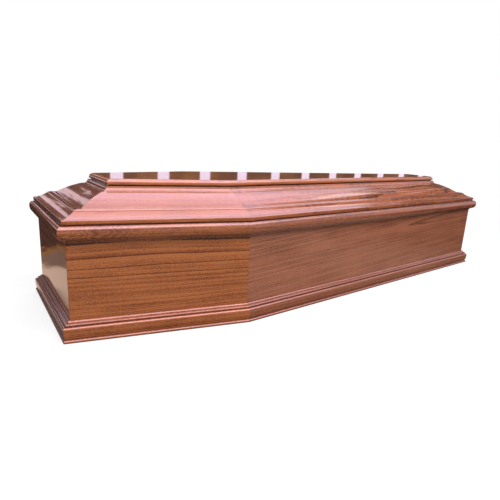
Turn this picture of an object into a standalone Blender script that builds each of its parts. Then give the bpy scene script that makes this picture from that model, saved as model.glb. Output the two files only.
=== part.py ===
"""Wooden coffin: a six-sided box with a moulded base and rim, and a stepped lid that lifts off."""
import math

import bmesh
import bpy
from mathutils import Vector

# Plan of the box, taken on the outer faces of its walls. The head is at -X and the feet at +X.
WALL_LENGTH = 1.960
HEAD_WIDTH = 0.453
SHOULDER_WIDTH = 0.664
FOOT_WIDTH = 0.426
SHOULDER_FROM_HEAD = 0.517

# Boards of the box
BOX_HEIGHT = 0.3277
WALL_THICK = 0.022
BOTTOM_THICK = 0.018
JOINT_GAP = 0.0003

# Base moulding, from the floor up: foot bead, face with a round nose, step bead, cap bead.
# A quirk is the narrow groove beside a bead, and a ledge is the level width between two members.
FOOT_BEAD_RADIUS = 0.0048
FOOT_BEAD_PROUD = 0.0005
FOOT_QUIRK_HEIGHT = 0.0044
FACE_HEIGHT = 0.0264
FACE_BATTER = 0.0022
FACE_BULGE = 0.0007
NOSE_RADIUS = 0.0060
NOSE_LEDGE = 0.0046
STEP_BEAD_RADIUS = 0.0028
STEP_LEDGE = 0.0046
CAP_BEAD_RADIUS = 0.0056
QUIRK_WIDTH = 0.0014

# Rim moulding, from the top edge of the box down: round nose, face, ovolo, small cove
RIM_NOSE_RADIUS = 0.0120
RIM_FACE_HEIGHT = 0.0125
RIM_FACE_BULGE = 0.0008
RIM_OVOLO_RADIUS = 0.0135
RIM_STEP = 0.0018
RIM_COVE_RADIUS = 0.0080
RIM_LIP = 0.0007

# Lid frame, from its outer edge in: fillet over a shadow line, hollow, ridge
LID_OVERHANG = 0.0100
SHADOW_HEIGHT = 0.0032
SHADOW_DEPTH = 0.0036
FILLET_HEIGHT = 0.0091
FILLET_ROUND = 0.0016
HOLLOW_RUN = 0.0365
HOLLOW_RISE = 0.0170
HOLLOW_SAG = 0.0025
RIDGE_RUN = 0.0225
RIDGE_RISE = 0.0026
RIDGE_CROWN = 0.0022
RIDGE_STEP = 0.0018
GROOVE_DEPTH = 0.0022
GROOVE_WIDTH = 0.0016

# Lid slope boards, from the lid frame up: bulging slope, groove, small cove, shelf under the top
SLOPE_RUN = 0.0745
SLOPE_RISE = 0.0377
SLOPE_BULGE = 0.0034
SLOPE_THICK = 0.0180
TOP_COVE_RADIUS = 0.0142
SHELF_WIDTH = 0.0260

# Top panel: a neck stands in a recess on the shelf and carries the round-edged slab
SLAB_INSET = 0.0043
RECESS_HEIGHT = 0.0042
RECESS_DEPTH = 0.0060
SLAB_THICK = 0.0164
SLAB_EDGE_RADIUS = 0.0125

# Steps that an arc of each kind is drawn with, and the angle past which an edge is shaded sharp
BEAD_STEPS = 8
NOSE_STEPS = 5
CURVE_STEPS = 10
FILLET_STEPS = 2
SHARP_ANGLE = 35

RUNS = ("head", "left_head_side", "left_foot_side", "foot", "right_foot_side", "right_head_side")

# Base colour of the lacquered timber, lighter and more orange at the head, redder at the feet
HEAD_TIMBER = (0.250, 0.098, 0.047)
FOOT_TIMBER = (0.215, 0.076, 0.042)
LACQUER_ROUGHNESS = 0.12


def clear_scene():
    for thing in list(bpy.data.objects):
        bpy.data.objects.remove(thing, do_unlink=True)


def plan_corners():
    """The six corners of the walls' outer faces, clockwise from above, from the right of the head."""
    head_x = -WALL_LENGTH / 2
    shoulder_x = head_x + SHOULDER_FROM_HEAD
    foot_x = WALL_LENGTH / 2
    stations = ((head_x, HEAD_WIDTH / 2), (shoulder_x, SHOULDER_WIDTH / 2), (foot_x, FOOT_WIDTH / 2))
    left = [Vector((x, half)) for x, half in stations]
    right = [Vector((x, -half)) for x, half in stations]
    return [right[0], *left, right[2], right[1]]


def turn_at(corners, index):
    """The angle that the outline turns through at a corner."""
    before = corners[index] - corners[index - 1]
    after = corners[(index + 1) % len(corners)] - corners[index]
    return abs(before.angle_signed(after))


def outline(out):
    """The plan corners moved outward by a distance, so that every side moves out by as much."""
    corners = plan_corners()
    moved = []
    for index, corner in enumerate(corners):
        before = (corner - corners[index - 1]).normalized()
        after = (corners[(index + 1) % len(corners)] - corner).normalized()
        outward = (before - after).normalized()
        moved.append(corner + outward * out / math.cos(turn_at(corners, index) / 2))
    return moved


def arc(centre, radius, start, end, steps):
    """Points of a round arc from one angle to another, in degrees, in (out, up) coordinates."""
    points = []
    for step in range(steps + 1):
        angle = math.radians(start + (end - start) * step / steps)
        points.append((centre[0] + radius * math.cos(angle), centre[1] + radius * math.sin(angle)))
    return points


def bow(start, end, crown, steps):
    """Points of the arc between two points that stands off their chord by crown, to its right."""
    run = end[0] - start[0]
    rise = end[1] - start[1]
    chord = math.hypot(run, rise)
    aside = (rise / chord, -run / chord)
    radius = (chord * chord / 4 + crown * crown) / (2 * abs(crown))
    points = []
    for step in range(steps + 1):
        along = step / steps
        from_middle = along * chord - chord / 2
        height = math.sqrt(radius * radius - from_middle * from_middle) - (radius - abs(crown))
        off = math.copysign(height, crown)
        points.append((start[0] + run * along + aside[0] * off, start[1] + rise * along + aside[1] * off))
    return points


def base_profile():
    back = JOINT_GAP
    cap_out = back + QUIRK_WIDTH
    step_out = cap_out + CAP_BEAD_RADIUS + STEP_LEDGE
    nose_out = step_out + NOSE_LEDGE
    reach = nose_out + NOSE_RADIUS
    bead_centre = (reach + FOOT_BEAD_PROUD - FOOT_BEAD_RADIUS, FOOT_BEAD_RADIUS)
    foot_bead = arc(bead_centre, FOOT_BEAD_RADIUS, -90, 90, BEAD_STEPS)
    face_foot = (reach - FACE_BATTER, 2 * FOOT_BEAD_RADIUS + FOOT_QUIRK_HEIGHT)
    face_head = (reach, face_foot[1] + FACE_HEIGHT)
    nose_top = face_head[1] + NOSE_RADIUS
    step_up = nose_top + QUIRK_WIDTH + STEP_BEAD_RADIUS
    step_top = step_up + STEP_BEAD_RADIUS
    cap_foot = step_top + QUIRK_WIDTH
    return [
        (back, 0.0),
        *foot_bead,
        (foot_bead[-1][0], face_foot[1]),
        *bow(face_foot, face_head, FACE_BULGE, NOSE_STEPS),
        *arc((nose_out, face_head[1]), NOSE_RADIUS, 0, 90, NOSE_STEPS)[1:],
        (step_out, nose_top),
        *arc((step_out, step_up), STEP_BEAD_RADIUS, -90, 90, BEAD_STEPS),
        (cap_out + CAP_BEAD_RADIUS, step_top),
        *arc((cap_out, cap_foot), CAP_BEAD_RADIUS, 0, 90, NOSE_STEPS),
        (back, cap_foot + CAP_BEAD_RADIUS),
    ]


def rim_profile():
    back = JOINT_GAP
    ovolo_out = back + RIM_LIP + RIM_COVE_RADIUS
    reach = ovolo_out + RIM_OVOLO_RADIUS
    nose_centre = (reach - RIM_NOSE_RADIUS, BOX_HEIGHT - RIM_NOSE_RADIUS)
    face_head = (reach, nose_centre[1])
    face_foot = (reach, face_head[1] - RIM_FACE_HEIGHT)
    cove_top = face_foot[1] - RIM_OVOLO_RADIUS - RIM_STEP
    cove_foot = cove_top - RIM_COVE_RADIUS
    return [
        (back, BOX_HEIGHT),
        *arc(nose_centre, RIM_NOSE_RADIUS, 90, 0, NOSE_STEPS),
        *bow(face_foot, face_head, RIM_FACE_BULGE, NOSE_STEPS)[-2:0:-1],
        *arc((ovolo_out, face_foot[1]), RIM_OVOLO_RADIUS, 0, -90, BEAD_STEPS),
        *arc((ovolo_out, cove_foot), RIM_COVE_RADIUS, 90, 180, NOSE_STEPS),
        (back, cove_foot),
    ]


def lid_foot():
    """Height of the lid's underside."""
    return BOX_HEIGHT + JOINT_GAP


def ridge_foot():
    """Where the hollow of the lid frame ends and its ridge begins."""
    fillet_top = lid_foot() + SHADOW_HEIGHT + FILLET_HEIGHT + FILLET_ROUND
    return (LID_OVERHANG - FILLET_ROUND - HOLLOW_RUN, fillet_top + HOLLOW_RISE)


def frame_inside():
    """How far out from the walls' outer faces the lid frame's inner side lies, and its ridge's height there."""
    foot = ridge_foot()
    return (foot[0] - RIDGE_RUN, foot[1] + RIDGE_STEP + RIDGE_RISE)


def lid_frame_profile():
    under = lid_foot()
    lip = under + SHADOW_HEIGHT
    fillet_head = lip + FILLET_HEIGHT
    foot = ridge_foot()
    inside, ridge_top = frame_inside()
    return [
        (inside, under),
        (LID_OVERHANG - SHADOW_DEPTH, under),
        (LID_OVERHANG - SHADOW_DEPTH, lip),
        (LID_OVERHANG, lip),
        *arc((LID_OVERHANG - FILLET_ROUND, fillet_head), FILLET_ROUND, 0, 90, FILLET_STEPS),
        *bow((LID_OVERHANG - FILLET_ROUND, fillet_head + FILLET_ROUND), foot, -HOLLOW_SAG, CURVE_STEPS)[1:],
        *bow((foot[0], foot[1] + RIDGE_STEP), (inside, ridge_top), RIDGE_CROWN, BEAD_STEPS),
        (inside, ridge_top - GROOVE_DEPTH),
    ]


def slope_ends():
    """The outer ends of the lid's bulging slope."""
    inside, ridge_top = frame_inside()
    foot = (inside - JOINT_GAP - GROOVE_WIDTH, ridge_top - GROOVE_DEPTH + GROOVE_WIDTH)
    return foot, (foot[0] - SLOPE_RUN, foot[1] + SLOPE_RISE)


def shelf_level():
    """Height of the shelf that the top panel stands on, and how far out its outer edge lies."""
    head = slope_ends()[1]
    return head[0] - GROOVE_WIDTH - TOP_COVE_RADIUS, head[1] + TOP_COVE_RADIUS


def below_slope(out):
    """Height of the slope board's underside: a parallel of the slope, one board thickness inside it."""
    foot, head = slope_ends()
    run = head[0] - foot[0]
    rise = head[1] - foot[1]
    chord = math.hypot(run, rise)
    radius = (chord * chord / 4 + SLOPE_BULGE * SLOPE_BULGE) / (2 * SLOPE_BULGE)
    middle = ((foot[0] + head[0]) / 2, (foot[1] + head[1]) / 2)
    back = radius - SLOPE_BULGE
    centre = (middle[0] - rise / chord * back, middle[1] + run / chord * back)
    inner = radius - SLOPE_THICK
    return centre[1] + math.sqrt(inner * inner - (out - centre[0]) ** 2)


def lid_slope_profile():
    foot, head = slope_ends()
    shelf_out, shelf_up = shelf_level()
    joint = foot[0] + GROOVE_WIDTH
    cove_centre = (shelf_out + TOP_COVE_RADIUS, shelf_up)
    inner = shelf_out - SHELF_WIDTH
    underside = []
    for step in range(CURVE_STEPS + 1):
        out = inner + (joint - inner) * step / CURVE_STEPS
        underside.append((out, below_slope(out)))
    return [
        (joint, foot[1] - GROOVE_WIDTH),
        *bow(foot, head, SLOPE_BULGE, CURVE_STEPS),
        (head[0] - GROOVE_WIDTH / 2, head[1] - GROOVE_WIDTH / 2),
        *arc(cove_centre, TOP_COVE_RADIUS, -90, -180, NOSE_STEPS),
        (inner, shelf_up),
        *underside,
    ]


def wall_profile():
    foot = BOTTOM_THICK + JOINT_GAP
    return [(-WALL_THICK, foot), (0.0, foot), (0.0, BOX_HEIGHT), (-WALL_THICK, BOX_HEIGHT)]


def loft(name, loops, colour):
    """A solid skinned over closed loops of points, which all have as many points, with flat end caps."""
    solid = bmesh.new()
    rings = [[solid.verts.new(point) for point in loop] for loop in loops]
    for lower, upper in zip(rings, rings[1:]):
        for index, vertex in enumerate(lower):
            solid.faces.new((lower[index - 1], vertex, upper[index], upper[index - 1]))
    solid.faces.new(rings[0])
    solid.faces.new(rings[-1])
    bmesh.ops.recalc_face_normals(solid, faces=solid.faces)
    mesh = bpy.data.meshes.new(name)
    solid.to_mesh(mesh)
    solid.free()
    mesh.shade_smooth()
    mesh.set_sharp_from_angle(angle=math.radians(SHARP_ANGLE))
    mesh.materials.append(lacquered_wood(name, colour))
    piece = bpy.data.objects.new(name, mesh)
    bpy.context.collection.objects.link(piece)
    return piece


def lacquered_wood(name, colour):
    material = bpy.data.materials.new(name + "_wood")
    material.use_nodes = True
    shader = material.node_tree.nodes["Principled BSDF"]
    shader.inputs["Base Color"].default_value = (*colour, 1.0)
    shader.inputs["Roughness"].default_value = LACQUER_ROUGHNESS
    shader.inputs["Metallic"].default_value = 0.0
    shader.inputs["Coat Weight"].default_value = 1.0
    return material


def mitred_length(group, index, profile, parent):
    """One length of a moulding or wall along one side of the plan, cut to the mitre at both ends."""
    corners = plan_corners()
    start = corners[index]
    end = corners[(index + 1) % len(corners)]
    along = end - start
    start_half = turn_at(corners, index) / 2
    end_half = turn_at(corners, (index + 1) % len(corners)) / 2
    start_clear = JOINT_GAP / 2 / math.cos(start_half)
    end_clear = JOINT_GAP / 2 / math.cos(end_half)
    first = [(start_clear - out * math.tan(start_half), out, up) for out, up in profile]
    last = [(along.length - end_clear + out * math.tan(end_half), out, up) for out, up in profile]
    timber = FOOT_TIMBER if "foot" in RUNS[index] else HEAD_TIMBER
    piece = loft(group + "_" + RUNS[index], (first, last), timber)
    piece.location = (start.x, start.y, 0.0)
    piece.rotation_euler = (0.0, 0.0, math.atan2(along.y, along.x))
    piece.parent = parent


def flat_board(name, levels, colour, parent):
    """A six-sided board whose edge follows (out, up) levels from its underside to its top."""
    loops = [[(corner.x, corner.y, up) for corner in outline(out)] for out, up in levels]
    piece = loft(name, loops, colour)
    piece.parent = parent


def top_panel_levels():
    shelf_out, shelf_up = shelf_level()
    neck_foot = shelf_up + JOINT_GAP
    slab_foot = neck_foot + RECESS_HEIGHT
    slab_out = shelf_out - SLAB_INSET
    neck_out = slab_out - RECESS_DEPTH
    round_foot = slab_foot + SLAB_THICK - SLAB_EDGE_RADIUS
    return [
        (neck_out, neck_foot),
        (neck_out, slab_foot),
        (slab_out, slab_foot),
        *arc((slab_out - SLAB_EDGE_RADIUS, round_foot), SLAB_EDGE_RADIUS, 0, 90, BEAD_STEPS),
    ]


def group_empty(name):
    empty = bpy.data.objects.new(name, None)
    bpy.context.collection.objects.link(empty)
    return empty


def build():
    clear_scene()
    box = group_empty("coffin_box")
    lid = group_empty("coffin_lid")
    flat_board("bottom_board", ((0.0, 0.0), (0.0, BOTTOM_THICK)), HEAD_TIMBER, box)
    sets = (
        ("wall", wall_profile(), box),
        ("base_moulding", base_profile(), box),
        ("rim_moulding", rim_profile(), box),
        ("lid_frame", lid_frame_profile(), lid),
        ("lid_slope", lid_slope_profile(), lid),
    )
    for group, profile, parent in sets:
        for index in range(len(RUNS)):
            mitred_length(group, index, profile, parent)
    flat_board("lid_top_panel", top_panel_levels(), HEAD_TIMBER, lid)
    bpy.context.view_layer.update()


build()
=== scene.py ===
import math

import bmesh
import bpy
from mathutils import Matrix, Vector


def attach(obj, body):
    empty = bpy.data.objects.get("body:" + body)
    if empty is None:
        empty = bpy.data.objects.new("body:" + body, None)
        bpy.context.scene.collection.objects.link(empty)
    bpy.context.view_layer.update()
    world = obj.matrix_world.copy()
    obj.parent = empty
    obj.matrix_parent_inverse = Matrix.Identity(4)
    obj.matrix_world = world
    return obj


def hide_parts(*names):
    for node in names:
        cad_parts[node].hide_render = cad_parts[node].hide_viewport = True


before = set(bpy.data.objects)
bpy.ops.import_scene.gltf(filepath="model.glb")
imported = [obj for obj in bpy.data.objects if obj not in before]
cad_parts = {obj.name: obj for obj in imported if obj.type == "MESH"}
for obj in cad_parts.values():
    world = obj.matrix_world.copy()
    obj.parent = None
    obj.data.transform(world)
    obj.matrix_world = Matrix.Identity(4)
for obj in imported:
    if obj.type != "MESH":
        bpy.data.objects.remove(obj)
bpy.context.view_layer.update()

# Metres throughout. +X runs from the head to the feet, -Y faces the camera, +Z is up.

# the walls' outer faces, seen from above
plan = {
    "length": 1.960,
    "headWidth": 0.453,
    "shoulderWidth": 0.664,
    "footWidth": 0.426,
    "shoulderFromHead": 0.517,
    "boxHeight": 0.3277,
    "wallThick": 0.022,
    "bottomThick": 0.018,
    "jointGap": 0.0003,
    "cornerSteps": 4,
    "evenOut": 0.0012,
    "roundReach": 0.004,
    "logSpacing": 4.0,
    "logMiddle": 1.0,
}

# each run of wall, clockwise from above
runNames = ["head", "left_head_side", "left_foot_side", "foot", "right_foot_side", "right_head_side"]


def planCorners():
    footX = plan["length"] / 2
    shoulderX = plan["shoulderFromHead"] - footX
    widths = [(-footX, plan["headWidth"]), (shoulderX, plan["shoulderWidth"]), (footX, plan["footWidth"])]
    left = [Vector((x, width / 2)) for x, width in widths]
    right = [Vector((x, -width / 2)) for x, width in widths]
    return [right[0], *left, right[2], right[1]]


corners = planCorners()


def heading(index):
    start = corners[index % 6]
    end = corners[(index + 1) % 6]
    return (end - start).normalized()


def turnAt(index):
    before = heading(index - 1)
    after = heading(index)
    return math.acos(max(-1.0, min(1.0, before.dot(after))))


# Profiles are closed loops of (out, up): out from the walls' outer faces, up from the ground.

def arc(centre, radius, start, end, steps):
    points = []
    for step in range(steps + 1):
        angle = math.radians(start + (end - start) * step / steps)
        points.append((centre[0] + radius * math.cos(angle), centre[1] + radius * math.sin(angle)))
    return points


def bow(start, end, crown, steps):
    # stands off its chord by crown, to the right of the way it runs
    run = end[0] - start[0]
    rise = end[1] - start[1]
    chord = math.hypot(run, rise)
    aside = (rise / chord, -run / chord)
    radius = (chord * chord / 4 + crown * crown) / (2 * abs(crown))
    points = []
    for step in range(steps + 1):
        along = step / steps
        reach = along * chord - chord / 2
        off = math.copysign(math.sqrt(radius * radius - reach * reach) - (radius - abs(crown)), crown)
        points.append((start[0] + run * along + aside[0] * off, start[1] + rise * along + aside[1] * off))
    return points


def dropDoubles(points, least=0.00003):
    kept = []
    for point in points:
        if not kept or math.dist(point, kept[-1]) > least:
            kept.append(point)
    if math.dist(kept[0], kept[-1]) <= least:
        kept.pop()
    return kept


def easeArrises(points, radius, steps=3, leastTurn=24.0, support=0.0006):
    # rounds each sharp arris, with a point close on either side so that flats stay flat in the gloss
    points = dropDoubles(points)
    made = []
    for index in range(len(points)):
        here = Vector(points[index])
        toBefore = Vector(points[index - 1]) - here
        toAfter = Vector(points[(index + 1) % len(points)]) - here
        spanBefore = toBefore.length
        spanAfter = toAfter.length
        toBefore.normalize()
        toAfter.normalize()
        turn = math.acos(max(-1.0, min(1.0, -toBefore.dot(toAfter))))
        if math.degrees(turn) < leastTurn:
            made.append(tuple(here))
            continue
        back = min(radius * math.tan(turn / 2), min(spanBefore, spanAfter) * 0.4)
        centre = here + (toBefore + toAfter).normalized() * (back / math.sin(turn / 2))
        if spanBefore > (back + support) * 2:
            made.append(tuple(here + toBefore * (back + support)))
        first = here + toBefore * back - centre
        last = here + toAfter * back - centre
        swing = math.atan2(first.x * last.y - first.y * last.x, first.dot(last))
        for step in range(steps + 1):
            made.append(tuple(centre + Matrix.Rotation(swing * step / steps, 2) @ first))
        if spanAfter > (back + support) * 2:
            made.append(tuple(here + toAfter * (back + support)))
    return dropDoubles(made)


baseMoulding = {
    "footBead": 0.0048,
    "footProud": 0.0005,
    "footQuirk": 0.0044,
    "faceHeight": 0.0264,
    "batter": 0.0022,
    "faceBulge": 0.0007,
    "nose": 0.0060,
    "noseLedge": 0.0046,
    "stepBead": 0.0028,
    "stepLedge": 0.0046,
    "capBead": 0.0056,
    "quirk": 0.0014,
    "arris": 0.0005,
    "cornerRound": 0.0014,
}


def baseProfile():
    value = baseMoulding
    back = plan["jointGap"]
    bead = value["footBead"]
    capOut = back + value["quirk"]
    stepOut = capOut + value["capBead"] + value["stepLedge"]
    noseOut = stepOut + value["noseLedge"]
    reach = noseOut + value["nose"]
    footBead = arc((reach + value["footProud"] - bead, bead), bead, -90, 90, 18)
    faceFoot = (reach - value["batter"], 2 * bead + value["footQuirk"])
    faceHead = (reach, faceFoot[1] + value["faceHeight"])
    noseTop = faceHead[1] + value["nose"]
    stepUp = noseTop + value["quirk"] + value["stepBead"]
    stepTop = stepUp + value["stepBead"]
    capFoot = stepTop + value["quirk"]
    points = [(back, 0.0), *footBead, (footBead[-1][0], faceFoot[1])]
    points += bow(faceFoot, faceHead, value["faceBulge"], 8)
    points += arc((noseOut, faceHead[1]), value["nose"], 0, 90, 12)[1:]
    points += [(stepOut, noseTop)]
    points += arc((stepOut, stepUp), value["stepBead"], -90, 90, 14)
    points += [(capOut + value["capBead"], stepTop)]
    points += arc((capOut, capFoot), value["capBead"], 0, 90, 12)
    points += [(back, capFoot + value["capBead"])]
    return easeArrises(points, value["arris"])


rimMoulding = {
    "nose": 0.0120,
    "faceHeight": 0.0125,
    "faceBulge": 0.0008,
    "ovolo": 0.0135,
    "step": 0.0018,
    "cove": 0.0080,
    "lip": 0.0007,
    "arris": 0.0005,
    "cornerRound": 0.0014,
}


def rimProfile():
    value = rimMoulding
    back = plan["jointGap"]
    ovoloOut = back + value["lip"] + value["cove"]
    reach = ovoloOut + value["ovolo"]
    noseCentre = (reach - value["nose"], plan["boxHeight"] - value["nose"])
    faceHead = (reach, noseCentre[1])
    faceFoot = (reach, faceHead[1] - value["faceHeight"])
    coveFoot = faceFoot[1] - value["ovolo"] - value["step"] - value["cove"]
    points = [(back, plan["boxHeight"])]
    points += arc(noseCentre, value["nose"], 90, 0, 14)
    points += bow(faceFoot, faceHead, value["faceBulge"], 8)[-2:0:-1]
    points += arc((ovoloOut, faceFoot[1]), value["ovolo"], 0, -90, 18)
    points += arc((ovoloOut, coveFoot), value["cove"], 90, 180, 14)
    points += [(back, coveFoot)]
    return easeArrises(points, value["arris"])


lidFrame = {
    "overhang": 0.0100,
    "shadowHeight": 0.0032,
    "shadowDepth": 0.0036,
    "filletHeight": 0.0091,
    "filletRound": 0.0016,
    "hollowRun": 0.0365,
    "hollowRise": 0.0170,
    "hollowSag": 0.0025,
    "ridgeRun": 0.0225,
    "ridgeRise": 0.0026,
    "ridgeCrown": 0.0022,
    "ridgeStep": 0.0018,
    "grooveDepth": 0.0022,
    "grooveWidth": 0.0016,
    "arris": 0.0004,
    "cornerRound": 0.0016,
}


def ridgeFoot():
    value = lidFrame
    up = plan["boxHeight"] + plan["jointGap"]
    for height in ("shadowHeight", "filletHeight", "filletRound", "hollowRise"):
        up += value[height]
    return (value["overhang"] - value["filletRound"] - value["hollowRun"], up)


def frameInside():
    value = lidFrame
    foot = ridgeFoot()
    return (foot[0] - value["ridgeRun"], foot[1] + value["ridgeStep"] + value["ridgeRise"])


def lidFrameProfile():
    value = lidFrame
    under = plan["boxHeight"] + plan["jointGap"]
    shadowIn = value["overhang"] - value["shadowDepth"]
    lip = under + value["shadowHeight"]
    filletHead = lip + value["filletHeight"]
    foot = ridgeFoot()
    inside, ridgeTop = frameInside()
    edge = value["overhang"] - value["filletRound"]
    points = [
        (inside, under),
        (shadowIn, under),
        (shadowIn, lip),
        (value["overhang"], lip),
    ]
    points += arc((edge, filletHead), value["filletRound"], 0, 90, 6)
    points += bow((edge, filletHead + value["filletRound"]), foot, -value["hollowSag"], 20)[1:]
    points += bow((foot[0], foot[1] + value["ridgeStep"]), (inside, ridgeTop), value["ridgeCrown"], 16)
    points += [(inside, ridgeTop - value["grooveDepth"])]
    return easeArrises(points, value["arris"])


lidSlope = {
    "run": 0.0745,
    "rise": 0.0377,
    "bulge": 0.0034,
    "thick": 0.0180,
    "cove": 0.0142,
    "shelf": 0.0260,
    "arris": 0.0004,
    "cornerRound": 0.0022,
}


def slopeEnds():
    inside, ridgeTop = frameInside()
    groove = lidFrame["grooveWidth"]
    foot = (inside - plan["jointGap"] - groove, ridgeTop - lidFrame["grooveDepth"] + groove)
    return foot, (foot[0] - lidSlope["run"], foot[1] + lidSlope["rise"])


def shelfLevel():
    head = slopeEnds()[1]
    return head[0] - lidFrame["grooveWidth"] - lidSlope["cove"], head[1] + lidSlope["cove"]


def belowSlope(out):
    foot, head = slopeEnds()
    run = head[0] - foot[0]
    rise = head[1] - foot[1]
    chord = math.hypot(run, rise)
    radius = (chord * chord / 4 + lidSlope["bulge"] * lidSlope["bulge"]) / (2 * lidSlope["bulge"])
    back = radius - lidSlope["bulge"]
    centreOut = (foot[0] + head[0]) / 2 - rise / chord * back
    centreUp = (foot[1] + head[1]) / 2 + run / chord * back
    inner = radius - lidSlope["thick"]
    return centreUp + math.sqrt(inner * inner - (out - centreOut) ** 2)


def lidSlopeProfile():
    value = lidSlope
    groove = lidFrame["grooveWidth"]
    foot, head = slopeEnds()
    shelfOut, shelfUp = shelfLevel()
    joint = foot[0] + groove
    inner = shelfOut - value["shelf"]
    points = [(joint, foot[1] - groove)]
    points += bow(foot, head, value["bulge"], 24)
    points += [(head[0] - groove / 2, head[1] - groove / 2)]
    points += arc((shelfOut + value["cove"], shelfUp), value["cove"], -90, -180, 14)
    points += [(inner, shelfUp)]
    for step in range(13):
        out = inner + (joint - inner) * step / 12
        points.append((out, belowSlope(out)))
    return easeArrises(points, value["arris"])


walls = {
    "arris": 0.0008,
    "cornerRound": 0.0018,
}


def wallProfile():
    foot = plan["bottomThick"] + plan["jointGap"]
    inner = -plan["wallThick"]
    top = plan["boxHeight"]
    return easeArrises([(inner, foot), (0.0, foot), (0.0, top), (inner, top)], walls["arris"])


# Small helpers for node trees

def feed(tree, socket, source):
    # a link from another node, or a plain value
    if isinstance(source, bpy.types.NodeSocket):
        tree.links.new(source, socket)
    elif socket.type == "RGBA":
        socket.default_value = (*source, 1.0)
    else:
        socket.default_value = source


def addNode(tree, kind, settings=None, links=None):
    node = tree.nodes.new(kind)
    for name, value in (settings or {}).items():
        setattr(node, name, value)
    for socket, source in (links or {}).items():
        feed(tree, node.inputs[socket], source)
    return node


def addSockets(tree, side, sockets):
    for kind, labels in sockets.items():
        for label in labels:
            tree.interface.new_socket(label, in_out=side, socket_type="NodeSocket" + kind)


def maths(tree, operation, first, second=0.0, third=0.0, clamp=False):
    settings = {"operation": operation, "use_clamp": clamp}
    return addNode(tree, "ShaderNodeMath", settings, {0: first, 1: second, 2: third}).outputs[0]


def plus(tree, first, second):
    return maths(tree, "ADD", first, second)


def minus(tree, first, second):
    return maths(tree, "SUBTRACT", first, second)


def times(tree, first, second):
    return maths(tree, "MULTIPLY", first, second)


def timesPlus(tree, first, second, third):
    return maths(tree, "MULTIPLY_ADD", first, second, third)


def split(tree, vector):
    return addNode(tree, "ShaderNodeSeparateXYZ", links={0: vector}).outputs


def joined(tree, x=0.0, y=0.0, z=0.0):
    return addNode(tree, "ShaderNodeCombineXYZ", links={"X": x, "Y": y, "Z": z}).outputs[0]


def pick(tree, factor, first, second):
    links = {"Factor": factor, "A": first, "B": second}
    return addNode(tree, "ShaderNodeMix", {"data_type": "FLOAT"}, links).outputs[0]


# Geometry Nodes: one length of wall or moulding, swept along its run and mitred at both ends

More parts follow.
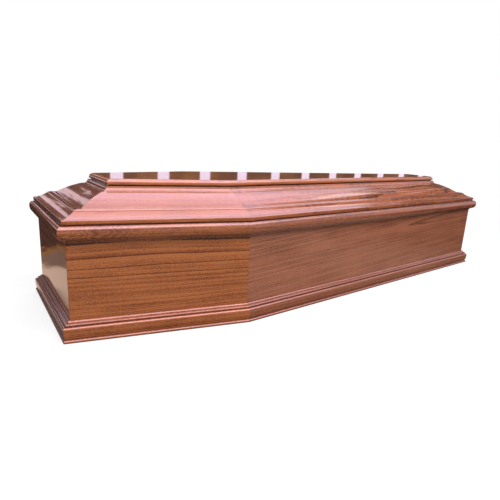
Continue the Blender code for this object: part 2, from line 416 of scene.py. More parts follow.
def mitredLengthTree():
    tree = bpy.data.node_groups.new("mitredLength", "GeometryNodeTree")
    addSockets(tree, "OUTPUT", {"Geometry": ["Geometry"]})
    addSockets(tree, "INPUT", {
        "Geometry": ["Profile"],
        "Int": ["Corner Steps"],
        "Float": ["Length", "Start Turn", "End Turn", "Joint Gap", "Corner Round", "Even Out", "Round Reach",
                  "Back", "Face Turn"],
        "Vector": ["Log Place", "Start Corner"],
        "Material": ["Material"],
    })
    given = tree.nodes.new("NodeGroupInput").outputs

    def keep(geometry, name, value, kind="FLOAT"):
        settings = {"data_type": kind, "domain": "POINT"}
        links = {"Geometry": geometry, "Name": name, "Value": value}
        return addNode(tree, "GeometryNodeStoreNamedAttribute", settings, links).outputs[0]

    def read(name):
        node = addNode(tree, "GeometryNodeInputNamedAttribute", {"data_type": "FLOAT"}, {"Name": name})
        return node.outputs["Attribute"]

    def position():
        return tree.nodes.new("GeometryNodeInputPosition").outputs[0]

    loop = addNode(tree, "GeometryNodeMeshToCurve", links={"Mesh": given["Profile"]}).outputs[0]
    spot = split(tree, position())
    loop = keep(keep(loop, "out", spot["X"]), "up", spot["Y"])
    # the rings of each end's rounded corner, and one past them that keeps the long faces flat
    ringCount = timesPlus(tree, given["Corner Steps"], 2.0, 4.0)
    path = addNode(tree, "GeometryNodeCurvePrimitiveLine",
                   links={"Start": (0.0, 0.0, 0.0), "End": (1.0, 0.0, 0.0)})
    rings = addNode(tree, "GeometryNodeResampleCurve", links={"Curve": path.outputs[0], "Count": ringCount})
    rings = keep(rings.outputs[0], "ring", tree.nodes.new("GeometryNodeInputIndex").outputs[0])
    sweep = addNode(tree, "GeometryNodeCurveToMesh",
                    links={"Curve": rings, "Profile Curve": loop, "Fill Caps": True})

    out = read("out")
    up = read("up")
    ring = read("ring")
    fromEnd = minus(tree, minus(tree, ringCount, 1.0), ring)
    atStart = maths(tree, "LESS_THAN", ring, fromEnd)
    nearer = maths(tree, "MINIMUM", ring, fromEnd)
    halfTurn = times(tree, pick(tree, atStart, given["End Turn"], given["Start Turn"]), 0.5)
    tangent = maths(tree, "TANGENT", halfTurn)
    # the rounding of the corner, nothing at the back of the piece
    front = maths(tree, "DIVIDE", minus(tree, out, given["Back"]), given["Round Reach"], clamp=True)
    radius = times(tree, given["Corner Round"], front)
    stepsLeft = minus(tree, given["Corner Steps"], nearer)
    share = maths(tree, "DIVIDE", stepsLeft, given["Corner Steps"], clamp=True)
    swing = times(tree, halfTurn, share)
    pulledIn = times(tree, radius, minus(tree, 1.0, maths(tree, "COSINE", swing)))
    inset = times(tree, radius, minus(tree, tangent, maths(tree, "SINE", swing)))
    # half of the joint's gap, measured along the run
    clear = maths(tree, "DIVIDE", times(tree, given["Joint Gap"], 0.5), maths(tree, "COSINE", halfTurn))
    beyond = maths(tree, "GREATER_THAN", nearer, plus(tree, given["Corner Steps"], 0.5))
    fromCorner = minus(tree, plus(tree, clear, inset), times(tree, out, tangent))
    fromCorner = plus(tree, fromCorner, times(tree, beyond, given["Even Out"]))
    along = pick(tree, atStart, minus(tree, given["Length"], fromCorner), fromCorner)
    place = joined(tree, along, minus(tree, out, pulledIn), up)
    shaped = addNode(tree, "GeometryNodeSetPosition", links={"Geometry": sweep.outputs[0], "Position": place})
    inLog = addNode(tree, "ShaderNodeVectorMath", {"operation": "ADD"},
                    {0: position(), 1: given["Log Place"]})
    bare = keep(shaped.outputs[0], "grain", inLog.outputs[0], "FLOAT_VECTOR")
    for name in ("out", "up", "ring"):
        links = {"Geometry": bare, "Name": name}
        bare = addNode(tree, "GeometryNodeRemoveAttribute", links=links).outputs[0]
    turned = joined(tree, z=given["Face Turn"])
    placed = addNode(tree, "GeometryNodeTransform",
                     links={"Geometry": bare, "Translation": given["Start Corner"], "Rotation": turned})
    real = addNode(tree, "GeometryNodeRealizeInstances", links={"Geometry": placed.outputs[0]})
    coated = addNode(tree, "GeometryNodeSetMaterial",
                     links={"Geometry": real.outputs[0], "Material": given["Material"]})
    tree.links.new(coated.outputs[0], tree.nodes.new("NodeGroupOutput").inputs[0])
    return tree


lengthTree = mitredLengthTree()


def plainMesh(piece):
    # the evaluated result as a plain mesh, with its faces out and no modifier left
    evaluated = piece.evaluated_get(bpy.context.evaluated_depsgraph_get())
    mesh = bpy.data.meshes.new_from_object(evaluated)
    piece.modifiers.clear()
    old = piece.data
    piece.data = mesh
    bpy.data.meshes.remove(old)
    faceOut(mesh)


def faceOut(mesh, sharpAbove=38):
    solid = bmesh.new()
    solid.from_mesh(mesh)
    bmesh.ops.recalc_face_normals(solid, faces=solid.faces)
    solid.to_mesh(mesh)
    solid.free()
    mesh.shade_smooth()
    mesh.set_sharp_from_angle(angle=math.radians(sharpAbove))


def newPiece(name, data):
    piece = bpy.data.objects.new(name, data)
    bpy.context.scene.collection.objects.link(piece)
    return piece


def mitredLength(group, index, profile, value, material, logPlace):
    mesh = bpy.data.meshes.new(f"{group}_{runNames[index]}_profile")
    count = len(profile)
    edges = [(point, (point + 1) % count) for point in range(count)]
    mesh.from_pydata([(out, up, 0.0) for out, up in profile], edges, [])
    piece = newPiece(f"timber_{group}_{runNames[index]}", mesh)
    modifier = piece.modifiers.new("mitredLength", "NODES")
    modifier.node_group = lengthTree
    start = corners[index]
    end = corners[(index + 1) % 6]
    along = heading(index)
    values = {
        "Length": (end - start).length,
        "Start Turn": turnAt(index),
        "End Turn": turnAt(index + 1),
        "Joint Gap": plan["jointGap"],
        "Corner Round": value["cornerRound"],
        "Corner Steps": plan["cornerSteps"],
        "Even Out": plan["evenOut"],
        "Round Reach": plan["roundReach"],
        "Back": min(out for out, up in profile),
        "Log Place": logPlace,
        "Start Corner": (start.x, start.y, 0.0),
        "Face Turn": math.atan2(along.y, along.x),
        "Material": material,
    }
    for item in lengthTree.interface.items_tree:
        if item.name in values:
            modifier[item.identifier] = values[item.name]
    plainMesh(piece)
    return piece


def finishPiece(piece, node):
    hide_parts(node)
    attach(piece, "root")


# Shader node groups that the timbers share

def groupTree(name, vectors, numbers, outputs):
    tree = bpy.data.node_groups.new(name, "ShaderNodeTree")
    addSockets(tree, "OUTPUT", {"Float": outputs})
    addSockets(tree, "INPUT", {"Vector": vectors, "Float": numbers})
    return tree, tree.nodes.new("NodeGroupInput").outputs, tree.nodes.new("NodeGroupOutput").inputs


def stretched(tree, vector, scale):
    return addNode(tree, "ShaderNodeVectorMath", {"operation": "MULTIPLY"}, {0: vector, 1: scale}).outputs[0]


def noise(tree, vector, scale, detail=2.0, rough=0.5, distortion=0.0):
    links = {"Vector": vector, "Scale": scale, "Detail": detail, "Roughness": rough, "Distortion": distortion}
    return addNode(tree, "ShaderNodeTexNoise", {"noise_dimensions": "3D"}, links).outputs["Fac"]


def grainNoise(tree, grain, squeeze, scale, detail=2.0, rough=0.5, distortion=0.0):
    # noise drawn out along the grain
    drawnOut = stretched(tree, grain, (1.0, squeeze, squeeze))
    return noise(tree, drawnOut, scale, detail, rough, distortion)


def remap(tree, value, low, high, toLow=0.0, toHigh=1.0):
    links = {"Value": value, "From Min": low, "From Max": high, "To Min": toLow, "To Max": toHigh}
    return addNode(tree, "ShaderNodeMapRange", {"interpolation_type": "SMOOTHSTEP"}, links).outputs[0]


# A noise is its scale, detail, roughness and distortion, and one along the grain has its squeeze first.

# how every board's rings are drawn, whatever their spacing
ringLook = {
    "slowSway": (4.0, 2.0, 1.0, 0.4),
    "quickSway": (3.0, 13.0),
    "quickShare": 0.16,
    "darkest": 0.985,
    "dashNoise": (9.0, 60.0, 2.0, 0.6),
    "dashSwing": 0.16,
    "dashFrom": 0.30,
    "dashTo": 0.42,
    "leastStrength": 0.6,
    "crowdFade": (0.0, 0.02, 1.0, 0.5),
    "toneCurve": 1.8,
}


def growthRingsGroup():
    # growth rings round a pith that lies outside the board, cut by its face as long lines
    value = ringLook
    tree, given, made = groupTree(
        "growthRings", ["Grain"],
        ["Pith Out", "Pith Up", "Ring Width", "Slant", "Out Slant", "Wander", "Line Width", "Dashes",
         "Crowd From", "Crowding"],
        ["Tone", "Dark Line", "Ring Shade"])
    grain = given["Grain"]
    part = split(tree, grain)
    # where the board lies along its own log
    along = maths(tree, "MODULO", plus(tree, part["X"], plan["logMiddle"]), plan["logSpacing"])
    along = minus(tree, along, plan["logMiddle"])
    pithOut = timesPlus(tree, along, given["Out Slant"], given["Pith Out"])
    across = minus(tree, part["Y"], pithOut)
    pithUp = timesPlus(tree, along, given["Slant"], given["Pith Up"])
    high = minus(tree, part["Z"], pithUp)
    radius = maths(tree, "SQRT", plus(tree, times(tree, across, across), times(tree, high, high)))
    slow = grainNoise(tree, grain, *value["slowSway"])
    quick = grainNoise(tree, grain, *value["quickSway"])
    quick = times(tree, minus(tree, quick, 0.5), value["quickShare"])
    sway = plus(tree, minus(tree, slow, 0.5), quick)
    radius = timesPlus(tree, sway, given["Wander"], radius)
    crowd = maths(tree, "MAXIMUM", minus(tree, radius, given["Crowd From"]), 0.0)
    count = timesPlus(tree, crowd, given["Crowding"], maths(tree, "DIVIDE", radius, given["Ring Width"]))
    phase = maths(tree, "FRACT", count)
    random = addNode(tree, "ShaderNodeTexWhiteNoise", {"noise_dimensions": "1D"},
                     {"W": maths(tree, "FLOOR", count)})
    ringShade = random.outputs["Value"]
    rise = remap(tree, phase, minus(tree, 1.0, given["Line Width"]), value["darkest"])
    fall = remap(tree, phase, value["darkest"], 1.0, 1.0, 0.0)
    gate = remap(tree, grainNoise(tree, grain, *value["dashNoise"]),
                 timesPlus(tree, given["Dashes"], value["dashSwing"], value["dashFrom"]),
                 timesPlus(tree, given["Dashes"], value["dashSwing"], value["dashTo"]))
    least = value["leastStrength"]
    strength = times(tree, gate, timesPlus(tree, ringShade, 1.0 - least, least))
    strength = times(tree, strength, remap(tree, crowd, *value["crowdFade"]))
    feed(tree, made["Tone"], maths(tree, "POWER", phase, value["toneCurve"]))
    feed(tree, made["Dark Line"], times(tree, times(tree, rise, fall), strength))
    feed(tree, made["Ring Shade"], ringShade)
    return tree


poreLook = {
    "cells": (1.0, 1.0),
    "poreEdge": (0.60, 0.74),
    "mottle": (1.8, 190.0, 2.0, 0.65, 0.3),
    "streaks": (18.0, 5.0, 4.0, 0.62),
}


def poresGroup():
    # short open pores drawn along the grain, and the cloudy mottle between them
    tree, given, made = groupTree(
        "pores", ["Grain"], ["Pore Length", "Pore Width"], ["Pores", "Mottle", "Streaks"])
    grain = given["Grain"]
    longWay = maths(tree, "DIVIDE", 0.5, given["Pore Length"])
    shortWay = maths(tree, "DIVIDE", 0.5, given["Pore Width"])
    fine = stretched(tree, grain, joined(tree, longWay, shortWay, shortWay))
    feed(tree, made["Pores"], remap(tree, noise(tree, fine, *poreLook["cells"]), *poreLook["poreEdge"]))
    feed(tree, made["Mottle"], grainNoise(tree, grain, *poreLook["mottle"]))
    feed(tree, made["Streaks"], grainNoise(tree, grain, *poreLook["streaks"]))
    return tree


curlLook = {
    "warp": (2.6, 9.0, 2.0, 0.55),
    "warpShare": 0.16,
    "lean": 0.55,
    "wave": 6.2832,
    "cloud": (3.0, 5.0, 3.0),
    "patches": (0.36, 0.62),
}


def figureGroup():
    # curly figure that crosses the grain
    value = curlLook
    tree, given, made = groupTree("curlFigure", ["Grain"], ["Curl Spacing"], ["Curl", "Cloud"])
    grain = given["Grain"]
    part = split(tree, grain)
    lean = timesPlus(tree, part["Z"], value["lean"], part["X"])
    lean = timesPlus(tree, grainNoise(tree, grain, *value["warp"]), value["warpShare"], lean)
    wave = maths(tree, "SINE", maths(tree, "DIVIDE", times(tree, lean, value["wave"]), given["Curl Spacing"]))
    cloud = grainNoise(tree, grain, *value["cloud"])
    patch = remap(tree, cloud, *value["patches"])
    feed(tree, made["Curl"], times(tree, timesPlus(tree, wave, 0.5, 0.5), patch))
    feed(tree, made["Cloud"], cloud)
    return tree


lacquerLook = {
    "ripple": (14.0, 1.0, 0.4),
    "peel": (130.0, 2.0),
    "sunk": (22.0, 24.0, 3.0, 0.6),
    "fineShare": 0.10,
    "smear": (7.0, 4.0, 0.6, 0.6),
    "dusty": (0.52, 0.75),
    "grit": (900.0, 1.0),
    "gritShare": 0.10,
    "thinner": (0.45, 0.85, 1.0, 0.82),
}


def lacquerGroup():
    # the lacquer's slow ripple, its faint orange peel, and dust that dulls it in places
    value = lacquerLook
    tree, given, made = groupTree(
        "lacquer", ["Place", "Grain"], ["Gloss", "Dust"], ["Height", "Roughness", "Coat"])
    place = given["Place"]
    ripple = noise(tree, place, *value["ripple"])
    sunk = grainNoise(tree, given["Grain"], *value["sunk"])
    height = timesPlus(tree, sunk, value["fineShare"], ripple)
    height = timesPlus(tree, noise(tree, place, *value["peel"]), value["fineShare"], height)
    smear = noise(tree, place, *value["smear"])
    dull = times(tree, remap(tree, smear, *value["dusty"]), given["Dust"])
    dull = times(tree, noise(tree, place, *value["grit"]), dull)
    feed(tree, made["Height"], height)
    feed(tree, made["Roughness"], timesPlus(tree, dull, value["gritShare"], given["Gloss"]))
    feed(tree, made["Coat"], remap(tree, smear, *value["thinner"]))
    return tree


ringsTree = growthRingsGroup()
poresTree = poresGroup()
figureTree = figureGroup()
lacquerTree = lacquerGroup()


# What every timber starts from: colours are linear

timber = {
    "light": (0.36, 0.110, 0.034),
    "deep": (0.150, 0.034, 0.0105),
    "line": (0.040, 0.0085, 0.0036),
    "pithOut": -0.080,
    "pithUp": 0.30,
    "ringWidth": 0.021,
    "slant": 0.0,
    "outSlant": 0.0,
    "crowdFrom": 9.0,
    "crowding": 0.0,
    "wander": 0.014,
    "lineWidth": 0.10,
    "dashes": 0.35,
    "lineStrength": 0.9,
    "fineWidth": 0.0052,
    "fineLineWidth": 0.30,
    "fineDashes": 1.0,
    "fineLine": 0.35,
    "ringContrast": 0.28,
    "fineContrast": 0.35,
    "fineMiddle": 0.3,
    "mottle": 0.9,
    "streaks": 0.7,
    "cloud": 0.3,
    "pores": 0.45,
    "poreLength": 0.006,
    "poreWidth": 0.0008,
    "curl": 0.10,
    "curlSpacing": 0.03,
    # painted shade in crevices and recesses: its colour, how far the occlusion looks, and where it fades in
    "crevice": (0.22, 0.12, 0.12),
    "creviceReach": 0.012,
    "creviceEdge": (0.25, 0.80),
    "gloss": 0.10,
    "dust": 0.5,
    "rippleHeight": 0.00035,
    "specular": 0.30,
    "coatRoughness": 0.035,
    "coatIndex": 1.5,
}


def blend(tree, factor, first, second, mode="MIX"):
    # the colour sockets of a mix node have numbers, because its number sockets share their names
    settings = {"data_type": "RGBA", "blend_type": mode}
    return addNode(tree, "ShaderNodeMix", settings, {0: factor, 6: first, 7: second}).outputs[2]


def socketName(key):
    # pithOut is the socket Pith Out
    return "".join(" " + letter if letter.isupper() else letter for letter in key).title()


def shared(tree, group, values):
    # a group takes the values that bear the names of its sockets
    node = addNode(tree, "ShaderNodeGroup", {"node_tree": group})
    for key, value in values.items():
        if socketName(key) in node.inputs:
            feed(tree, node.inputs[socketName(key)], value)
    return node.outputs


def lacqueredTimber(name, changes):
    value = {**timber, **changes}
    material = bpy.data.materials.new(name)
    material.use_nodes = True
    tree = material.node_tree
    shader = tree.nodes["Principled BSDF"]
    values = {
        **value,
        "grain": addNode(tree, "ShaderNodeAttribute", {"attribute_name": "grain"}).outputs["Vector"],
        "place": addNode(tree, "ShaderNodeTexCoord").outputs["Object"],
    }
    rings = shared(tree, ringsTree, values)
    fine = shared(tree, ringsTree, {
        **values,
        "ringWidth": value["fineWidth"],
        "lineWidth": value["fineLineWidth"],
        "dashes": value["fineDashes"],
        "crowdFrom": timber["crowdFrom"],
        "crowding": timber["crowding"],
    })
    pores = shared(tree, poresTree, values)
    figure = shared(tree, figureTree, values)
    lacquer = shared(tree, lacquerTree, values)
    # each pattern's middle, and how far it moves the tone from light to deep
    tone = times(tree, rings["Tone"], value["ringContrast"])
    patterns = [
        (fine["Ring Shade"], value["fineMiddle"], value["fineContrast"]),
        (fine["Tone"], 0.0, value["fineContrast"] * 0.5),
        (pores["Mottle"], 0.5, value["mottle"] * 2.0),
        (pores["Streaks"], 0.5, value["streaks"] * 2.0),
        (figure["Curl"], 0.0, value["curl"]),
        (figure["Cloud"], 0.5, value["cloud"] * 2.0),
    ]
    for pattern, middle, share in patterns:
        tone = timesPlus(tree, minus(tree, pattern, middle), share, tone)
    colour = blend(tree, tone, value["light"], value["deep"])
    marks = [
        (pores["Pores"], value["pores"]),
        (fine["Dark Line"], value["fineLine"]),
        (rings["Dark Line"], value["lineStrength"]),
    ]
    for mark, strength in marks:
        colour = blend(tree, times(tree, mark, strength), colour, value["line"])
    # painted shade: the base colour darkens where ambient occlusion finds a crevice, quirk or recess
    near = addNode(tree, "ShaderNodeAmbientOcclusion", {"samples": 5}, {"Distance": value["creviceReach"]})
    shade = remap(tree, near.outputs["AO"], *value["creviceEdge"])
    shade = blend(tree, shade, value["crevice"], (1.0, 1.0, 1.0))
    bump = addNode(tree, "ShaderNodeBump",
                   links={"Height": lacquer["Height"], "Distance": value["rippleHeight"], "Strength": 1.0})
    looks = {
        "Base Color": blend(tree, 1.0, colour, shade, "MULTIPLY"),
        "Roughness": lacquer["Roughness"],
        "Coat Weight": lacquer["Coat"],
        "Normal": bump.outputs[0],
        "Specular IOR Level": value["specular"],
        "Coat Roughness": value["coatRoughness"],
        "Coat IOR": value["coatIndex"],
    }
    for socket, source in looks.items():
        feed(tree, shader.inputs[socket], source)
    return material


timberChanges = {
    "wallHead": ("walls_head_timber", {
        "light": (0.375, 0.120, 0.038), "crowdFrom": 0.146, "crowding": 43.0, "lineWidth": 0.19,
        "lineStrength": 1.0, "dashes": 0.15, "ringContrast": 0.48, "fineLine": 0.45, "fineContrast": 0.42,
        "mottle": 1.1}),
    "wallFoot": ("walls_foot_timber", {
        "light": (0.31, 0.114, 0.062), "deep": (0.135, 0.041, 0.023), "line": (0.045, 0.012, 0.008),
        "pithOut": -0.0494, "outSlant": -0.008, "pithUp": 0.2714, "slant": -0.055, "ringWidth": 0.0135,
        "fineWidth": 0.0045, "lineStrength": 0.5, "lineWidth": 0.13, "fineLine": 0.6, "fineContrast": 0.45,
        "ringContrast": 0.08, "wander": 0.006}),
    "baseHead": ("base_head_timber", {"pithOut": -0.12, "pithUp": 0.2, "ringWidth": 0.012}),
    "baseFoot": ("base_foot_timber", {
        "light": (0.28, 0.088, 0.042), "deep": (0.135, 0.034, 0.016),
        "pithOut": -0.1, "pithUp": 0.25, "ringWidth": 0.011}),
    # painted shade: a darker copy of the base timber for the head end, which lies in shade
    "baseEndShaded": ("base_end_shaded_timber", {
        "light": (0.15, 0.046, 0.030), "deep": (0.07, 0.018, 0.012),
        "pithOut": -0.12, "pithUp": 0.2, "ringWidth": 0.012}),
    # painted shade: a darker copy of the lid timber for the head end, which lies in shade
    "lidEndShaded": ("lid_end_shaded_timber", {
        "light": (0.19, 0.055, 0.030), "deep": (0.09, 0.022, 0.013),
        "pithOut": -0.2, "pithUp": 0.15, "ringWidth": 0.014, "mottle": 0.5}),
    "rimHead": ("rim_head_timber", {
        "light": (0.31, 0.098, 0.034), "deep": (0.11, 0.025, 0.009), "pithOut": -0.02, "pithUp": 0.26,
        "ringWidth": 0.009, "wander": 0.022, "curl": 0.6, "curlSpacing": 0.022}),
    "rimFoot": ("rim_foot_timber", {
        "light": (0.28, 0.090, 0.044), "deep": (0.12, 0.030, 0.015), "pithOut": -0.03, "pithUp": 0.27,
        "ringWidth": 0.009, "wander": 0.016, "curl": 0.2}),
    "lidHead": ("lid_head_timber", {"pithOut": -0.2, "pithUp": 0.15, "ringWidth": 0.014, "mottle": 0.5}),
    "lidFoot": ("lid_foot_timber", {
        "light": (0.33, 0.098, 0.040), "deep": (0.130, 0.030, 0.012), "pithOut": -0.25, "pithUp": 0.12,
        "ringWidth": 0.012, "wander": 0.020, "curl": 0.45, "curlSpacing": 0.045}),
    # the top panel's pith is slanted, so that no oval of rings shows
    "lidTop": ("lid_top_timber", {
        "pithOut": 0.04, "pithUp": 0.1, "slant": 0.022, "ringWidth": 0.012, "ringContrast": 0.12,
        "lineStrength": 0.55}),
    "bottom": ("bottom_timber", {"gloss": 0.45, "pithOut": 0.0, "pithUp": -0.3, "ringWidth": 0.014}),
}
timbers = {key: lacqueredTimber(name, changes) for key, (name, changes) in timberChanges.items()}
print("timbers ready")


# Walls and mouldings: each length is its own board, so its log is another one

# name, profile, values, slot, and the timbers of the head end, the head sides and the rest; the base's and
# lid's head-end timbers are darker copies, painted shade
sets = [
    ("wall", wallProfile(), walls, "walls", "wallHead", "wallHead", "wallFoot"),
    ("base_moulding", baseProfile(), baseMoulding, "base", "baseEndShaded", "baseHead", "baseFoot"),
    ("rim_moulding", rimProfile(), rimMoulding, "rim", "rimHead", "rimHead", "rimFoot"),
    ("lid_frame", lidFrameProfile(), lidFrame, "lid", "lidEndShaded", "lidHead", "lidFoot"),
    ("lid_slope", lidSlopeProfile(), lidSlope, "lid", "lidEndShaded", "lidHead", "lidFoot"),
]

for setIndex, (group, profile, value, slotName, endTimber, headTimber, footTimber) in enumerate(sets):
    for index in range(6):
        material = timbers[(endTimber, headTimber, footTimber, footTimber, footTimber, headTimber)[index]]
        logPlace = (plan["logSpacing"] * (index + 6 * setIndex), 0.0, 0.0)
        piece = mitredLength(group, index, profile, value, material, logPlace)
        finishPiece(piece, f"{group}_{runNames[index]}")
    print("lengths ready:", group)


# Bottom board and top panel: lofts whose plan corners are rounded a little

boards = {
    "cornerRound": 0.0020,
    "cornerSteps": 6,
    "evenOut": 0.0015,
    "bottomArris": 0.0006,
    "slabInset": 0.0043,
    "recessHeight": 0.0042,
    "recessDepth": 0.0060,
    "slabThick": 0.0164,
    "slabRound": 0.0125,
    "slabArris": 0.0005,
    "levelRun": 0.003,
    "closeRun": 0.02,
    "topLog": 121.0,
    "bottomLog": 125.0,
}


def boardOutline(out, rounding):
    # the plan moved out, each corner a small arc, with a point on either side that keeps the long edges flat
    points = []
    for index in range(6):
        before = heading(index - 1)
        after = heading(index)
        half = turnAt(index) / 2
        inward = (after - before).normalized()
        corner = corners[index] - inward * (out / math.cos(half))
        back = rounding * math.tan(half)
        centre = corner + inward * (rounding / math.cos(half))
        points.append(corner - before * (back + boards["evenOut"]))
        first = corner - before * back - centre
        for step in range(boards["cornerSteps"] + 1):
            points.append(centre + Matrix.Rotation(-2 * half * step / boards["cornerSteps"], 2) @ first)
        points.append(corner + after * (back + boards["evenOut"]))
    return points


def loftedBoard(name, levels, material, logStart):
    solid = bmesh.new()
    rings = []
    for out, up in levels:
        outline = boardOutline(out, boards["cornerRound"])
        rings.append([solid.verts.new((point.x, point.y, up)) for point in outline])
    for lower, upper in zip(rings, rings[1:]):
        for index in range(len(lower)):
            solid.faces.new((lower[index - 1], lower[index], upper[index], upper[index - 1]))
    solid.faces.new(rings[0])
    solid.faces.new(rings[-1])
    mesh = bpy.data.meshes.new(name)
    solid.to_mesh(mesh)
    solid.free()
    grain = mesh.attributes.new("grain", "FLOAT_VECTOR", "POINT")
    for index, vertex in enumerate(mesh.vertices):
        grain.data[index].vector = vertex.co + Vector((logStart, 0.0, 0.0))
    faceOut(mesh)
    mesh.materials.append(material)
    return newPiece(name, mesh)


def openEnds(points, radius):
    # eases the arrises of a board's edge, but leaves its first and last level where they are
    close = boards["closeRun"]
    first = (points[0][0] - close, points[0][1])
    last = (points[-1][0] - close, points[-1][1])
    eased = easeArrises([first, *points, last], radius)
    inner = min(point[0] for point in eased)
    return [point for point in eased if point[0] > inner + close / 2]


def topPanelLevels():
    value = boards
    shelfOut, shelfUp = shelfLevel()
    neckFoot = shelfUp + plan["jointGap"]
    slabFoot = neckFoot + value["recessHeight"]
    slabOut = shelfOut - value["slabInset"]
    neckOut = slabOut - value["recessDepth"]
    roundFoot = slabFoot + value["slabThick"] - value["slabRound"]
    edge = [(neckOut, neckFoot), (neckOut, slabFoot), (slabOut, slabFoot)]
    edge += arc((slabOut - value["slabRound"], roundFoot), value["slabRound"], 0, 90, 18)
    edge += [(edge[-1][0] - value["levelRun"], edge[-1][1])]
    return openEnds(edge, value["slabArris"])


def bottomLevels():
    inner = -boards["levelRun"]
    top = plan["bottomThick"]
    return openEnds([(inner, 0.0), (0.0, 0.0), (0.0, top), (inner, top)], boards["bottomArris"])


topPanel = loftedBoard("timber_lid_top_panel", topPanelLevels(), timbers["lidTop"], boards["topLog"])
finishPiece(topPanel, "lid_top_panel")
bottomBoard = loftedBoard("timber_bottom_board", bottomLevels(), timbers["bottom"], boards["bottomLog"])
finishPiece(bottomBoard, "bottom_board")
print("boards ready")


# Floor, light and camera

studio = {
    "floorSize": 24.0,
    "floorDrop": 0.0002,
    "floorColour": (0.90, 0.90, 0.90),
    "gritNoise": (60.0, 3.0),
    "gritDepth": 0.985,
    "floorBounce": (0.42, 0.40, 0.38),
    "whiteFrom": (1.5, 3.0, 0.8),
    "skyLight": 0.30,
    "white": (1.0, 1.0, 1.0),
}

# the floor that only the gloss sees, a dim glow in these colours that paints its reflection: darker in steps
# beyond a wavy edge, with a painted contact shadow close to the box; ranges run along X or Y, in metres
mirroredFloor = {
    "front": (0.34, 0.26, 0.22),
    "behind": (0.69, 0.48, 0.375),
    "worn": (0.20, 0.128, 0.100),
    "earth": (0.28, 0.125, 0.045),
    "far": (0.045, 0.027, 0.026),
    "contactShadow": (0.05, 0.028, 0.024),
    "behindFrom": (-0.3, 0.25),
    "farFrom": (0.5, 1.5),
    "wavyStepScale": (3.0, 1.2, 1.0),
    "wavyStepNoise": (5.0, 4.0, 0.6, 0.5),
    "wavyStepDepth": 0.5,
    "edge": 0.93,
    "edgeTilt": -0.45,
    "steps": [(0.0, 0.14, "worn"), (0.32, 0.06, "earth"), (0.41, 0.05, "far")],
    "contactShadowReach": 0.07,
    "contactShadowFrom": (0.62, 0.84),
}


def surface(tree, kind, colour):
    return addNode(tree, "ShaderNode" + kind, links={"Color": colour}).outputs[0]


def byRay(tree, end, diffuse, glossy, camera):
    # three shaders, for what bounced light, the gloss and the camera each see
    path = tree.nodes.new("ShaderNodeLightPath").outputs
    unseen = addNode(tree, "ShaderNodeMixShader", links={0: path["Is Glossy Ray"], 1: diffuse, 2: glossy})
    shown = addNode(tree, "ShaderNodeMixShader",
                    links={0: path["Is Camera Ray"], 1: unseen.outputs[0], 2: camera})
    tree.links.new(shown.outputs[0], end.inputs["Surface"])


def floorMaterial():
    material = bpy.data.materials.new("floor_pale")
    material.use_nodes = True
    tree = material.node_tree
    tree.nodes.clear()
    end = tree.nodes.new("ShaderNodeOutputMaterial")
    place = addNode(tree, "ShaderNodeTexCoord").outputs["Object"]
    part = split(tree, place)
    # pale, and white towards its rim
    pale = studio["floorColour"]
    grit = noise(tree, place, *studio["gritNoise"])
    pale = blend(tree, grit, pale, tuple(channel * studio["gritDepth"] for channel in pale))
    away = addNode(tree, "ShaderNodeVectorMath", {"operation": "LENGTH"}, {0: place}).outputs["Value"]
    faded = addNode(tree, "ShaderNodeMixShader", links={
        0: remap(tree, away, *studio["whiteFrom"]),
        1: surface(tree, "BsdfDiffuse", pale),
        2: surface(tree, "Emission", studio["white"]),
    })
    bounce = surface(tree, "BsdfDiffuse", studio["floorBounce"])
    # painted reflection: beyond a wavy edge the mirrored floor's glow darkens in steps
    value = mirroredFloor
    seen = blend(tree, remap(tree, part["Y"], *value["behindFrom"]), value["front"], value["behind"])
    seen = blend(tree, remap(tree, part["X"], *value["farFrom"]), seen, value["far"])
    worn = noise(tree, stretched(tree, place, value["wavyStepScale"]), *value["wavyStepNoise"])
    edge = timesPlus(tree, part["X"], value["edgeTilt"], part["Y"])
    edge = timesPlus(tree, minus(tree, worn, 0.5), value["wavyStepDepth"], edge)
    for start, width, colour in value["steps"]:
        start += value["edge"]
        seen = blend(tree, remap(tree, edge, start, start + width), seen, value[colour])
    # painted contact shadow: the mirrored floor's glow darkens where ambient occlusion finds the box close by
    close = addNode(tree, "ShaderNodeAmbientOcclusion", {"samples": 6}, {"Distance": value["contactShadowReach"]})
    seen = blend(tree, remap(tree, close.outputs["AO"], *value["contactShadowFrom"]), value["contactShadow"], seen)
    byRay(tree, end, bounce, surface(tree, "Emission", seen), faded.outputs[0])
    return material


def addFloor():
    half = studio["floorSize"] / 2
    mesh = bpy.data.meshes.new("floor")
    rim = [(-half, -half, 0), (half, -half, 0), (half, half, 0), (-half, half, 0)]
    mesh.from_pydata(rim, [], [(0, 1, 2, 3)])
    mesh.materials.append(floorMaterial())
    floor = newPiece("floor", mesh)
    floor.location.z = -studio["floorDrop"]


# the sky that only the gloss sees, its colours first
sky = {
    "low": (1.05, 0.86, 1.02),
    "high": (4.1, 2.65, 3.4),
    "glow": (1.5, 1.35, 1.2),
    "left": (0.9, 0.62, 0.62),
    "frontLow": (1.05, 0.72, 0.76),
    "frontHigh": (5.2, 2.6, 2.7),
    "frontFar": (3.1, 2.45, 2.65),
    "frontTop": (9.0, 6.2, 7.2),
    "post": (0.98, 0.82, 1.0),
    "betweenPosts": (0.10, 0.050, 0.036),
    "warmBetween": (0.20, 0.095, 0.048),
    "streak": (1.15, 0.82, 0.88),
    "shade": (0.11, 0.062, 0.052),
    "postSpacing": 0.1151,
    "postOffset": -0.13,
    "postShare": 0.115,
    "postEdge": 0.03,
    "leastDepth": 0.05,
    "castScale": (16.0, 16.0, 30.0),
    "openingScale": (14.0, 46.0),
    "sideScale": (24.0, 7.0),
    "openingNoise": (1.0, 3.0, 0.60, 0.8),
    "sideLess": 0.05,
    "paleAt": -0.026,
    "skylineFoot": 0.19,
    "skylineWaver": 0.40,
    "glowTurn": 1.23,
    "glowHeight": 0.60,
}

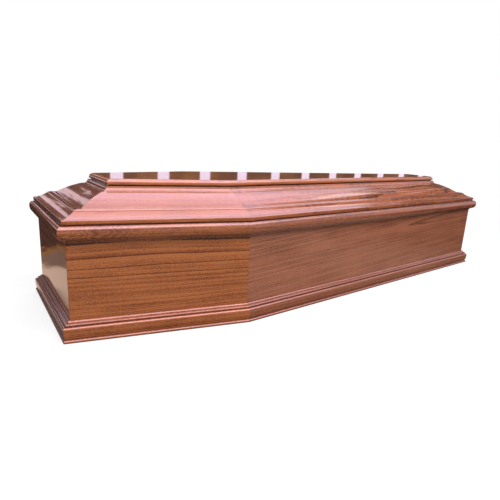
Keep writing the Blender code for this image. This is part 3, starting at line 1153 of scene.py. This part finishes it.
# Where it changes: parts of the direction, and the turn away from straight behind in radians. Each
# range runs from and to, and ends with the two values it goes between if they aren't 0 and 1.
skyRanges = {
    "cast": (0.45, 0.65),
    "left": (-0.20, -0.30),
    "abovePosts": (0.115, 0.125),
    "pale": (0.018, 0.036, 0.15, -0.09),
    "leftShut": (-0.15, -0.25, 0.0, 0.12),
    "side": (0.6, 0.8),
    "opening": (0.50, 0.53),
    "skylineBehind": (0.45, 0.70, 0.19, 0.0),
    "skylineSteps": [(0.90, 0.98, 0.0, 0.23), (1.00, 1.15, 0.0, 0.12), (1.24, 1.32, 0.0, 0.22)],
    "skyline": (-0.03, 0.03),
    "high": (0.46, 0.88),
    "glowWidth": (0.03, 0.09, 1.0, 0.0),
    "glowDepth": (0.04, 0.10, 1.0, 0.0),
    "streakTurn": (1.04, 1.16),
    "streakHeight": (0.82, 0.70),
    "streak": (0.42, 0.50, 0.8, 0.0),
    "front": (0.10, -0.30),
    "frontFar": (0.05, 0.55),
    "frontHigh": (0.34, 0.60),
    "frontTop": (0.60, 0.74),
}


def skyWorld():
    world = bpy.data.worlds.new("studio")
    bpy.context.scene.world = world
    world.use_nodes = True
    tree = world.node_tree
    tree.nodes.clear()
    end = tree.nodes.new("ShaderNodeOutputWorld")
    direction = addNode(tree, "ShaderNodeTexCoord").outputs["Generated"]
    part = split(tree, direction)
    sideways = part["X"]
    height = part["Z"]
    turn = maths(tree, "ARCTAN2", maths(tree, "ABSOLUTE", sideways), part["Y"])

    def within(value, name):
        return remap(tree, value, *skyRanges[name])

    def off(value, middle):
        return maths(tree, "ABSOLUTE", minus(tree, value, middle))

    def openingNoise(across, scale):
        spread = joined(tree, times(tree, across, scale[0]), times(tree, height, scale[1]))
        return noise(tree, spread, *sky["openingNoise"])

    # bright posts in a row behind, which the top panel mirrors as upright strips
    depth = maths(tree, "MAXIMUM", maths(tree, "ABSOLUTE", part["Y"]), sky["leastDepth"])
    count = maths(tree, "DIVIDE", maths(tree, "DIVIDE", sideways, depth), sky["postSpacing"])
    phase = maths(tree, "FRACT", plus(tree, count, sky["postOffset"]))
    post = remap(tree, off(phase, 0.5), sky["postShare"], sky["postShare"] + sky["postEdge"], 1.0, 0.0)
    cast = noise(tree, stretched(tree, direction, sky["castScale"]), 1.0)
    low = blend(tree, within(cast, "cast"), sky["betweenPosts"], sky["warmBetween"])
    low = blend(tree, post, low, sky["post"])
    low = blend(tree, within(sideways, "left"), low, sky["left"])
    # above them a dark band with a few pale openings, straight behind and to the far side
    openings = openingNoise(sideways, sky["openingScale"])
    openings = plus(tree, openings, within(off(sideways, sky["paleAt"]), "pale"))
    openings = minus(tree, openings, within(sideways, "leftShut"))
    sideOpenings = openingNoise(turn, sky["sideScale"])
    openings = pick(tree, within(turn, "side"), openings, minus(tree, sideOpenings, sky["sideLess"]))
    band = blend(tree, within(openings, "opening"), sky["shade"], sky["streak"])
    # a skyline over the band that rises in steps to the far side
    farSide = 0.0
    for step in skyRanges["skylineSteps"]:
        farSide = plus(tree, farSide, remap(tree, turn, *step))
    waver = times(tree, minus(tree, sideOpenings, 0.5), sky["skylineWaver"])
    skyline = plus(tree, within(turn, "skylineBehind"), farSide)
    skyline = plus(tree, skyline, timesPlus(tree, farSide, waver, sky["skylineFoot"]))
    # the sky itself, with one warm glow and some dark streaks to the far side
    bright = blend(tree, within(height, "high"), sky["low"], sky["high"])
    glow = times(tree, within(off(turn, sky["glowTurn"]), "glowWidth"),
                 within(off(height, sky["glowHeight"]), "glowDepth"))
    bright = blend(tree, glow, bright, sky["glow"], "ADD")
    streak = times(tree, within(turn, "streakTurn"), within(height, "streakHeight"))
    streak = times(tree, streak, within(sideOpenings, "streak"))
    bright = blend(tree, streak, bright, sky["shade"])
    seen = blend(tree, within(minus(tree, height, skyline), "skyline"), band, bright)
    seen = blend(tree, within(height, "abovePosts"), low, seen)
    # a bright open side in front, for the beads and edges that face the camera
    ahead = blend(tree, within(sideways, "frontFar"), sky["frontHigh"], sky["frontFar"])
    ahead = blend(tree, within(height, "frontHigh"), sky["frontLow"], ahead)
    ahead = blend(tree, within(height, "frontTop"), ahead, sky["frontTop"])
    seen = blend(tree, within(part["Y"], "front"), seen, ahead)
    soft = addNode(tree, "ShaderNodeBackground",
                   links={"Color": studio["white"], "Strength": studio["skyLight"]})
    white = surface(tree, "Background", studio["white"])
    byRay(tree, end, soft.outputs[0], surface(tree, "Background", seen), white)


# soft lights, which neither the camera nor the gloss sees
lights = {
    "key": {"place": (-0.3, -2.4, 3.5), "size": (3.6, 2.4), "power": 250.0},
    "fill": {"place": (0.8, 3.2, 2.6), "size": (3.4, 2.2), "power": 120.0},
}
lightAim = Vector((0.0, 0.0, 0.3))


def addLights():
    for name, value in lights.items():
        lamp = bpy.data.lights.new(name, "AREA")
        lamp.shape = "RECTANGLE"
        lamp.size, lamp.size_y = value["size"]
        lamp.energy = value["power"]
        holder = newPiece(name, lamp)
        holder.location = value["place"]
        aim = lightAim - Vector(value["place"])
        holder.rotation_euler = aim.to_track_quat("-Z", "Y").to_euler()
        holder.visible_camera = False
        holder.visible_glossy = False


view = {
    "place": (-1.1951, -1.3993, 0.5683),
    "turn": 34.512,
    "down": 14.399,
    "roll": 3.056,
    "lens": 30.744,
    "sensor": 36.0,
    "nearest": 0.05,
}


def addCamera():
    turn = math.radians(view["turn"])
    down = math.radians(view["down"])
    roll = math.radians(view["roll"])
    ahead = Vector((math.sin(turn) * math.cos(down), math.cos(turn) * math.cos(down), -math.sin(down)))
    right = Vector((math.cos(turn), -math.sin(turn), 0.0))
    up = right.cross(ahead)
    cameraX = right * math.cos(roll) + up * math.sin(roll)
    cameraY = up * math.cos(roll) - right * math.sin(roll)
    camera = newPiece("camera", bpy.data.cameras.new("camera"))
    turned = Matrix((cameraX, cameraY, -ahead)).transposed().to_4x4()
    camera.matrix_world = Matrix.Translation(Vector(view["place"])) @ turned
    camera.data.sensor_width = view["sensor"]
    camera.data.lens = view["lens"]
    camera.data.clip_start = view["nearest"]
    bpy.context.scene.camera = camera


addFloor()
skyWorld()
addLights()
addCamera()
bpy.context.scene.view_settings.view_transform = "Standard"
print("studio ready")
